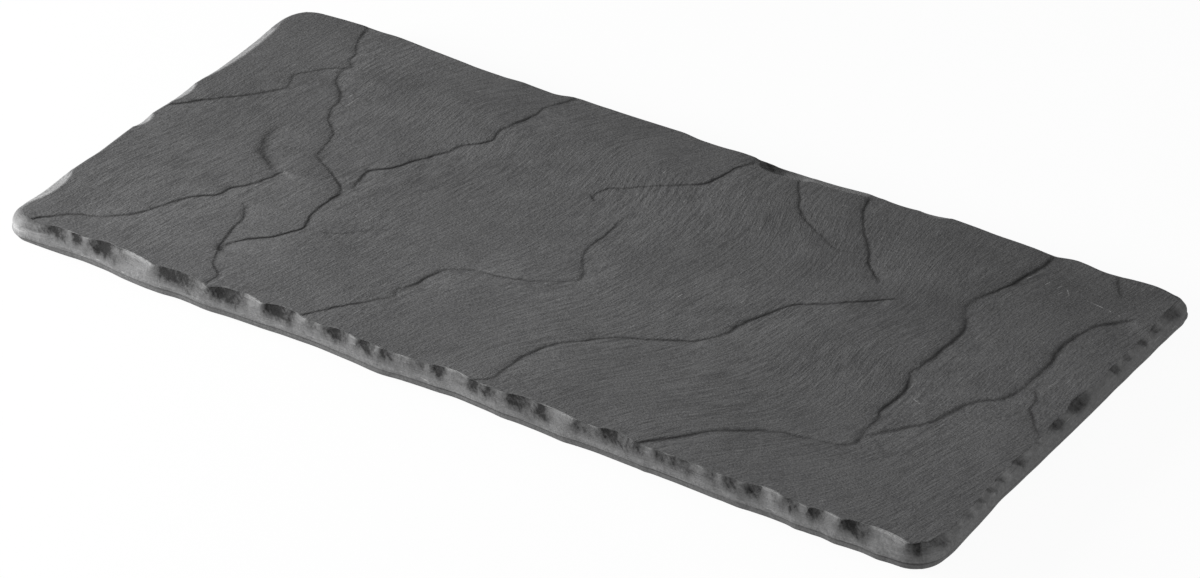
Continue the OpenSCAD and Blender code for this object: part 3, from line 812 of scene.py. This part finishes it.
# %% [markdown]
# ## Side and underside
#
# Below the rim the section falls over the rounding, stands nearly upright, turns under at the widest line
# and tucks in to the flat base. A fine step runs round low on the side, where the two halves of the press
# mould met. The near side stands out low down in bumps, each a place, half its length and its height. The
# flakes are then knocked off these rings.

# %% Side rings and underside
ROUND_RINGS = 12
UNDERCUT = 1.8
SIDE_LEAN = 0.3
SIDE_SECTION = [(0.1, 3.2), (0, 2.7), (0.05, 2.3), (0.3, 2.15), (0.35, 1.6), (0.45, 1.0)]
UNDERCUT_RINGS = 4
MOULD_RING = ROUND_RINGS + 3
MOULD_SHADE = 0.7
ROUGH_H = 0.08
ROUGH_ROOT_H = 0.1
ROUGH_FULL = 0.3
ROUGH_STRETCH = 1.5
LOW_BUMPS = [
    (-111, 7, 0.4), (-78, 2.5, 0.2), (-48, 11, 0.18), (-16.5, 3, 0.35), (-2, 3, 0.15), (15.5, 2.5, 0.2),
    (32, 2, 0.2), (53, 1.2, 0.2), (73, 1.5, -0.1), (77.5, 1.5, 0.12), (91.5, 1.5, 0.3), (97.5, 1.5, -0.15),
    (101.5, 2, 0.3), (107.5, 1.5, -0.12), (112, 2, 0.3),
]
UNDERSIDE_SHARES = (0.6, 0.2)
SIDE_GRAIN = (0.1, 1, 3.3)


def loop_of_top():
    """Indices of the top grid's border, in the order of the outline's stations."""
    index = top_index
    return np.concatenate([index[:-1, 0], index[-1, :-1], index[:0:-1, -1], index[0, :0:-1]])


def ring_points(inset_here, height):
    """One ring: the outline moved in by an inset, at a height above the underside."""
    flat = outline - np.broadcast_to(inset_here, len(outline))[:, None] * normals
    return np.column_stack([flat, np.broadcast_to(UNDERSIDE + height, len(outline))])


def nose(height):
    """How far a ring tucks in below a bulge: a quarter ellipse that starts at the nose height."""
    below = np.clip(1 - height / NOSE_H, 0, 1)
    return bulge_tuck * (1 - np.sqrt(1 - below ** 2))


def low_bumps():
    """How far the near side stands out low down at each station: a bell curve round each given place."""
    out = np.zeros(len(outline))
    span, axis = side_spans["near"]
    for place, half, amount in LOW_BUMPS:
        out[span] += amount * np.exp(-((outline[span, axis] - place) / half) ** 2)
    return out


def side_rings(rim_z):
    """Rings from just under the rim to the edge of the base: rounding, upright side, mould line, undercut.

    The rounding and the undercut are quarter ellipses.
    """
    rings = []
    for share in np.arange(1, ROUND_RINGS + 1) / ROUND_RINGS:
        angle = share * math.pi / 2
        level = rim_z + (TOP - rim_z) * share
        rings.append(ring_points(inset + (SIDE_LEAN - inset) * math.sin(angle),
                                 level - round_h * (1 - math.cos(angle)) - UNDERSIDE))
    uneven = unevenness("side", *outline.T) - low_bumps()
    rings += [ring_points(spot_in + uneven + nose(height), height) for spot_in, height in SIDE_SECTION]
    last_inset, last_h = SIDE_SECTION[-1]
    for share in np.arange(1, UNDERCUT_RINGS + 1) / UNDERCUT_RINGS:
        angle = share * math.pi / 2
        height = last_h * (1 - math.sin(angle))
        tuck = (UNDERCUT - last_inset) * (1 - math.cos(angle)) + nose(height)
        rings.append(ring_points(last_inset + uneven + tuck, height))
    return rings


loop = loop_of_top()
rings = side_rings(top_z[loop])
band = np.concatenate(rings)
hollow = knock_off(band, balls)
height = band[:, 2].reshape(len(rings), -1)
# painted shade: the dark colour of the flake roots and of the knapped zone, where their walls face away from
# the light
root = np.maximum(painted_root_shade(height), painted_knapped_shade(height)).ravel()
level = ROUGH_STRETCH * band[:, 2]
rough = unevenness("rough", band[:, 0] + band[:, 1], level)
rough = rough + unevenness("fine_rough", band[:, 0] - band[:, 1], level)
outwards = np.tile(normals, (len(rings), 1))
rough = (ROUGH_H + ROUGH_ROOT_H * root) * rough * smooth(hollow / ROUGH_FULL)
band[:, :2] -= rough[:, None] * outwards
# painted shade: a dark line along the small step of the mould line
mould_line_shade = np.zeros((len(rings), len(outline)))
mould_line_shade[MOULD_RING] = MOULD_SHADE + unevenness("mould_line_shade", *outline.T)
base_rings = [np.column_stack([rings[-1][:, :2] * share, rings[-1][:, 2]]) for share in UNDERSIDE_SHARES]
under = np.concatenate([*base_rings, [[0, 0, UNDERSIDE]]])
points = np.concatenate([top_points, band, under])
print(len(rings), "side rings, deepest flake", round(hollow.max(), 2), "mm")

# %% [markdown]
# ## One closed mesh
#
# Top, side and underside share their border points, so the slab is one closed skin with no seam. Each point
# also keeps what the finish needs to know there: painted shade in the crevices and flake roots, painted
# highlights, grain, broad tone patches that are partly painted shade, and painted shade along the right end.

# %% Slab mesh
SHARP_ANGLE = math.radians(38)
FOOT_SHADE_H = 2.4
FOOT_SHADE_EASE = 0.4


def slab_faces():
    """Quads of the top grid and of each pair of rings, and triangles that close the underside's middle."""
    index = top_index
    top = np.stack([index[:-1, :-1], index[1:, :-1], index[1:, 1:], index[:-1, 1:]], axis=-1).reshape(-1, 4)
    around = len(outline)
    ring_count = len(rings) + len(base_rings)
    below = top_x.size + np.arange(ring_count * around).reshape(ring_count, around)
    levels = np.concatenate([loop[None], below])
    turned = np.roll(levels, -1, axis=1)
    wall = np.stack([levels[:-1], levels[1:], turned[1:], turned[:-1]], axis=-1).reshape(-1, 4)
    middle = np.full(around, len(points) - 1)
    base = np.stack([levels[-1], middle, turned[-1]], axis=-1)
    return np.concatenate([top, wall]), base


def by_zone(top, side, base):
    """One number per point of the slab, from those of its top, its side and its underside."""
    counts = (len(top_points), len(band), len(under))
    return np.concatenate([np.broadcast_to(values, count)
                           for values, count in zip((top, side, base), counts)])


quads, triangles = slab_faces()
slab = make_mesh("slate_slab", points, quads, triangles)
slab.data.set_sharp_from_angle(angle=SHARP_ANGLE)
# painted shade: the right end darkens towards its far corner and lightens towards its near one
end_painted_shade = -RIGHT_END_SHADE * band[:, 1] * np.clip(outwards[:, 0], 0, 1)
fading = np.clip(1 - np.arange(1, ROUND_RINGS + 1) / RIM_HIGHLIGHT_RINGS, 0, 1)[:, None]
# painted highlights: the rim, the lit flake ends, the bulge and the spots are made paler, stored as rim
highlight_top, highlight_side = np.zeros(len(top_points)), painted_highlight_spots(height)
highlight_top[loop] = painted_rim_highlight(RIM_HIGHLIGHT)
highlight_side[:ROUND_RINGS] += np.maximum(painted_rim_highlight(FACET_HIGHLIGHT), fading * painted_rim_highlight(RIM_HIGHLIGHT)) + bulge_highlight
store(slab, "crevice_shade", by_zone(top_crevice_shade, mould_line_shade.ravel(), 0))
store(slab, "hollow", by_zone(0, hollow, 0))
# painted shade of the flake roots and the knapped zone, stored as root
store(slab, "root", by_zone(0, root, 0))
store(slab, "flat_top", by_zone(1, 0, 0))
store(slab, "tone_and_painted_shade", by_zone(tone_and_painted_shade(top_x, top_y), end_painted_shade, 0))
store(slab, "rim", by_zone(highlight_top, highlight_side.ravel(), 0))
side_points = slice(len(top_points), len(top_points) + len(band))
scars = np.zeros((len(points), 3))
scars[:, 0] = points[:, 0] + points[:, 1]
scars[side_points, 0] -= (blended(SLANT) * (TOP - height)).ravel()
scars[side_points, 2] = (height / blended(SCAR_RUN)).ravel()
scars[loop, 2] = TOP / blended(SCAR_RUN)
store(slab, "scars", scars)
# painted shade: the side is darker low down, near the floor
store(slab, "foot", smooth((UNDERSIDE + FOOT_SHADE_H - points[:, 2]) / FOOT_SHADE_EASE))
store(slab, "grain", np.concatenate([top_grain, points[len(top_points):] * SIDE_GRAIN]))
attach(slab, "root")
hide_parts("slab")
print("slab of", len(quads) * 2 + len(triangles), "triangles")

# %% [markdown]
# ## Slate finish
#
# The ceramic is fired through in a neutral dark grey and left matt. Close up it shows fine strokes along
# the grain, a soft mottle, a few pale scratches and paler broken stone at the edge; painted shade darkens
# the clefts and flake roots, and painted highlights lighten the rims. Nearly all of it is drawn by noise,
# stretched along the stored grain, so nothing repeats. The clearest scratches are listed, each from a start
# to an end.


# %% Slate material
class Nodes:
    """A material's node tree with short calls to add a node, set its sockets and link into it."""

    def __init__(self, name):
        self.material = bpy.data.materials.new(name)
        self.material.use_nodes = True
        self.tree = self.material.node_tree
        self.tree.nodes.clear()

    def add(self, kind, inputs=None, **settings):
        node = self.tree.nodes.new(kind)
        for key, value in settings.items():
            setattr(node, key, value)
        for key, value in (inputs or {}).items():
            if isinstance(value, bpy.types.NodeSocket):
                self.tree.links.new(value, node.inputs[key])
            else:
                node.inputs[key].default_value = value
        return node

    def math(self, operation, a, b):
        return self.add("ShaderNodeMath", {0: a, 1: b}, operation=operation).outputs[0]

    def weighted(self, first, *others):
        """The sum of values times their weights."""
        total = self.math("MULTIPLY", *first)
        for value, weight in others:
            total = self.math("ADD", total, self.math("MULTIPLY", value, weight))
        return total

    def mix(self, share, a, b):
        node = self.add("ShaderNodeMix", {0: share, 6: a, 7: b}, data_type="RGBA")
        return node.outputs[2]

    def ramp(self, value, low, high, to_low=0.0, to_high=1.0):
        inputs = {0: value, 1: low, 2: high, 3: to_low, 4: to_high}
        return self.add("ShaderNodeMapRange", inputs, clamp=True).outputs[0]

    def noise(self, vector, scale, detail=2.0, roughness=0.5):
        inputs = {"Vector": vector, "Scale": scale, "Detail": detail, "Roughness": roughness}
        return self.add("ShaderNodeTexNoise", inputs).outputs[0]

    def stretched(self, vector, scale, turn=0.0):
        inputs = {"Vector": vector, "Scale": scale, "Rotation": (0, 0, turn)}
        return self.add("ShaderNodeMapping", inputs).outputs[0]

    def attribute(self, name, output="Fac"):
        return self.add("ShaderNodeAttribute", attribute_name=name).outputs[output]

    def vector_math(self, operation, a, b):
        node = self.add("ShaderNodeVectorMath", {0: a, 1: b}, operation=operation)
        return node.outputs["Value" if operation in ("DOT_PRODUCT", "LENGTH") else "Vector"]

    def bump(self, height, distance):
        inputs = {"Height": height, "Distance": distance, "Strength": 1.0}
        return self.add("ShaderNodeBump", inputs).outputs[0]

    def place(self):
        return self.add("ShaderNodeTexCoord").outputs["Object"]

    def principled(self, inputs):
        return self.surface(self.add("ShaderNodeBsdfPrincipled", inputs))

    def surface(self, shader):
        """Ends the tree with a shader and gives the finished material."""
        self.add("ShaderNodeOutputMaterial", {"Surface": shader.outputs[0]})
        return self.material


SCRATCHES = [((105.5, 45), (114.5, 43.5)), ((92.5, -10.5), (94.5, -11.5)), ((99.5, 46.5), (101, 44.5)),
             ((38, 50), (39, 50.3))]
SCRATCH_W = 0.2
SCRATCH_CORE = 0.3
STROKE_STRETCH = (1.3, 0.13, 1)
FINE_STRETCH = (2.8, 0.7, 1)
SCRATCH_STRETCH = (3.0, 0.25, 1)
SCRATCH_TURN = 0.5
PATCH_SCALE = 45.0
MOTTLE_SCALE = 60.0
SPECKLE_SCALE = 1100.0
DOT_SCALE = 1500.0
GRIT_SCALE = 2000.0
EDGE_UNEVEN = 1.3
EDGE_BROKEN = 0.3
FOOT_SHADE = 0.35
RELIEF = 0.00035
SLATE_DARK = (0.061, 0.061, 0.062, 1)
SLATE_PALE = (0.124, 0.124, 0.125, 1)
SLATE_BROKEN = (0.13, 0.13, 0.13, 1)
SLATE_SCRATCH_AND_HIGHLIGHT = (0.42, 0.42, 0.42, 1)
SLATE_ROOT_SHADE = (0.016, 0.016, 0.016, 1)
SLATE_SHADE = (0.015, 0.015, 0.015, 1)


def scratch_mask(n, place):
    """1 on the listed scratches, 0 elsewhere, from each place's distance to the nearest of these lines."""
    mask = 0.0
    for start, end in SCRATCHES:
        start, run = np.array(start) * MM, (np.array(end) - start) * MM
        apart = n.vector_math("SUBTRACT", n.vector_math("MULTIPLY", place, (1, 1, 0)), (*start, 0))
        share = n.ramp(n.vector_math("DOT_PRODUCT", apart, (*(run / (run @ run)), 0)), 0.0, 1.0)
        spot = n.add("ShaderNodeVectorMath", {0: (*run, 0), "Scale": share}, operation="SCALE")
        away = n.vector_math("LENGTH", n.vector_math("SUBTRACT", apart, spot.outputs[0]), (0, 0, 0))
        mask = n.math("MAXIMUM", mask, n.ramp(away, SCRATCH_CORE * SCRATCH_W * MM, SCRATCH_W * MM, 1.0, 0.0))
    return mask


def slate_material():
    """Strokes and mottle between two greys, then the broken edge, scratches, painted highlights and painted
    shade.
    """
    n = Nodes("slate")
    place = n.place()
    grain = n.attribute("grain", "Vector")
    flat_top = n.attribute("flat_top")
    crevice_shade = n.attribute("crevice_shade")
    strokes = n.noise(n.stretched(grain, STROKE_STRETCH), 1.0, 3.0, 0.65)
    fine = n.noise(n.stretched(grain, FINE_STRETCH), 1.0, 2.0, 0.6)
    mottle = n.noise(place, MOTTLE_SCALE, 3.0, 0.55)
    grit = n.noise(place, GRIT_SCALE, 2.0, 0.6)
    patches = n.ramp(n.noise(place, PATCH_SCALE, 1.0, 0.5), 0.35, 0.65, 0.18, 0.5)
    tone = n.weighted((n.math("SUBTRACT", strokes, 0.5), patches), (mottle, 0.2), (fine, 0.25), (grit, 0.35))
    colour = n.mix(n.ramp(tone, 0.31, 0.49), SLATE_DARK, SLATE_PALE)
    edge = n.math("SUBTRACT", 1.0, flat_top)
    speckle = n.noise(place, SPECKLE_SCALE, 3.0, 0.6)
    streaks = n.noise(n.attribute("scars", "Vector"), 1.0, 2.0, 0.6)
    uneven = n.math("SUBTRACT", n.math("ADD", speckle, streaks), 1.0)
    # tone patches, partly painted shade, and the painted shade along the right end set the brightness here
    lighter = n.math("ADD", n.attribute("tone_and_painted_shade"), 1.0)
    lighter = n.math("ADD", lighter, n.math("MULTIPLY", uneven, n.math("MULTIPLY", edge, EDGE_UNEVEN)))
    colour = n.add("ShaderNodeHueSaturation", {"Value": lighter, "Color": colour}).outputs[0]
    colour = n.mix(n.math("MULTIPLY", edge, EDGE_BROKEN), colour, SLATE_BROKEN)
    scratches = n.noise(n.stretched(grain, SCRATCH_STRETCH, SCRATCH_TURN), 1.0, 1.0, 0.4)
    scratches = n.ramp(scratches, 0.74, 0.8, 0.0, 0.4)
    dotted = n.ramp(n.noise(place, DOT_SCALE, 1.0, 0.5), 0.45, 0.65, 0.0, 0.6)
    scratches = n.math("MAXIMUM", scratches, n.math("MULTIPLY", scratch_mask(n, place), dotted))
    colour = n.mix(scratches, colour, SLATE_SCRATCH_AND_HIGHLIGHT)
    # painted highlight: the stored rim paleness mixes the colour towards the pale scratch grey
    worn = n.math("MULTIPLY", n.attribute("rim"), n.ramp(speckle, 0.35, 0.65, 0.5, 1.0))
    colour = n.mix(worn, colour, SLATE_SCRATCH_AND_HIGHLIGHT)
    # painted shade: flake roots and the knapped zone are darkened and lose most of their specular reflection
    root = n.attribute("root")
    struck_shade = n.math("ADD", root, n.math("MULTIPLY", uneven, n.ramp(root, 0.0, 0.4)))
    colour = n.mix(n.ramp(struck_shade, 0.05, 0.9, 0.0, 0.95), colour, SLATE_ROOT_SHADE)
    # painted shade: darker low on the side, near the floor
    colour = n.mix(n.math("MULTIPLY", n.attribute("foot"), FOOT_SHADE), colour, SLATE_SHADE)
    # painted shade: dark lines in the clefts' crevices and along the mould line
    colour = n.mix(crevice_shade, colour, SLATE_SHADE)
    broken = n.ramp(n.attribute("hollow"), 0.0, 0.3, 0.0, 0.35)
    height = n.weighted((strokes, 0.5), (fine, 0.35), (grit, 0.3), (speckle, broken))
    return n.principled({
        "Base Color": colour,
        "Roughness": n.ramp(tone, 0.3, 0.5, 0.62, 0.78),
        "Normal": n.bump(height, RELIEF),
        "Specular IOR Level": n.ramp(n.math("MAXIMUM", struck_shade, crevice_shade), 0.0, 1.0, 0.4, 0.05),
    })


slab.data.materials.append(slate_material())
print("slate finish on", slab.name)

# %% [markdown]
# ## Feet
#
# Low soft feet are stuck under the slab, each on a film of adhesive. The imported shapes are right, so they
# stay and only get their finishes: dull black rubber with a fine moulded grain, and a cloudy pale film.

# %% Feet and adhesive
FOOT_RUBBER = (0.018, 0.018, 0.019, 1)
FOOT_BLOOM = (0.045, 0.045, 0.046, 1)
FILM_PALE = (0.62, 0.6, 0.52, 1)
FILM_YELLOW = (0.5, 0.46, 0.36, 1)
FOOT_RELIEF = 0.00005
FILM_RELIEF = 0.00003


def rubber_material():
    """Black rubber with a greyer bloom in patches and fine pores."""
    n = Nodes("foot_rubber")
    place = n.place()
    bloom = n.noise(place, 400.0, 4.0, 0.6)
    pores = n.noise(place, 2500.0, 2.0, 0.5)
    return n.principled({
        "Base Color": n.mix(n.ramp(bloom, 0.45, 0.7), FOOT_RUBBER, FOOT_BLOOM),
        "Roughness": n.ramp(bloom, 0.3, 0.7, 0.7, 0.9),
        "Normal": n.bump(pores, FOOT_RELIEF),
    })


def film_material():
    """A pale film, clouded with yellow."""
    n = Nodes("adhesive_film")
    place = n.place()
    clouds = n.noise(place, 300.0, 3.0, 0.5)
    return n.principled({
        "Base Color": n.mix(n.ramp(clouds, 0.35, 0.65), FILM_PALE, FILM_YELLOW),
        "Roughness": n.ramp(clouds, 0.3, 0.7, 0.3, 0.5),
        "Normal": n.bump(clouds, FILM_RELIEF),
    })


finishes = {"foot": rubber_material(), "adhesive": film_material()}
for name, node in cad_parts.items():
    finish = finishes.get(name.split("_")[0])
    if finish:
        node.data.materials.clear()
        node.data.materials.append(finish)
print("finished", sum(name != "slab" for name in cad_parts), "feet and films")

# %% [markdown]
# ## Floor and light
#
# A product shot on white: one large soft lamp low on the left rakes over the top, so every step and stroke
# shows, and falls off towards the right end. A weak, wide lamp low on the right lifts the end that the first
# one can't reach, and the surroundings give an even fill. The floor is white to the camera but keeps part
# of the tray's shadow. Places and sizes are in metres here.

# %% Floor, lamp and surroundings
FLOOR_SIZE = 6.0
FLOOR_PALE = (0.82, 0.82, 0.82, 1)
FLOOR_WHITE_SHARE = 0.95
KEY_PLACE = Vector((-0.6, -0.4, 0.22))
KEY_SIZE = 0.25
KEY_POWER = 12
SIDE_PLACE = Vector((0.8, -0.18, 0.16))
SIDE_SIZE = 0.4
SIDE_POWER = 2.2
FILL_STRENGTH = 0.27


def is_seen(n):
    """1 where a ray comes straight from the camera, or by a reflection or through glass, otherwise 0."""
    path = n.add("ShaderNodeLightPath").outputs
    seen = n.math("MAXIMUM", path["Is Camera Ray"], path["Is Glossy Ray"])
    return n.math("MAXIMUM", seen, path["Is Transmission Ray"])


def floor_material():
    """Pale matt paint, mixed with even white where it is seen."""
    n = Nodes("floor")
    plain = n.add("ShaderNodeBsdfDiffuse", {"Color": FLOOR_PALE})
    white = n.add("ShaderNodeEmission", {"Color": (1, 1, 1, 1), "Strength": 1.0})
    share = n.math("MULTIPLY", is_seen(n), FLOOR_WHITE_SHARE)
    both = n.add("ShaderNodeMixShader", {0: share, 1: plain.outputs[0], 2: white.outputs[0]})
    return n.surface(both)


def make_floor():
    """A square on the table's level that belongs to the stage."""
    half = FLOOR_SIZE / 2 / MM
    corners = np.array([[-half, -half, 0], [half, -half, 0], [half, half, 0], [-half, half, 0]], float)
    floor = make_mesh("floor", corners, np.array([[0, 1, 2, 3]]), np.zeros((0, 3), int))
    floor.data.materials.append(floor_material())
    return floor


def make_lamp(name, place, size, power):
    """A square soft lamp that faces the tray's middle."""
    lamp = bpy.data.objects.new(name, bpy.data.lights.new(name, "AREA"))
    bpy.context.scene.collection.objects.link(lamp)
    lamp.data.shape = "SQUARE"
    lamp.data.size = size
    lamp.data.energy = power
    lamp.location = place
    lamp.rotation_euler = (-place).to_track_quat("-Z", "Y").to_euler()
    return lamp


def make_surroundings():
    """An even white fill from all round."""
    world = bpy.data.worlds.new("surroundings")
    bpy.context.scene.world = world
    world.use_nodes = True
    background = world.node_tree.nodes["Background"]
    background.inputs["Color"].default_value = (1, 1, 1, 1)
    background.inputs["Strength"].default_value = FILL_STRENGTH


make_floor()
make_lamp("key", KEY_PLACE, KEY_SIZE, KEY_POWER)
make_lamp("side", SIDE_PLACE, SIDE_SIZE, SIDE_POWER)
make_surroundings()
bpy.context.scene.view_settings.view_transform = "Standard"
print("lit by two soft lamps and an even fill")
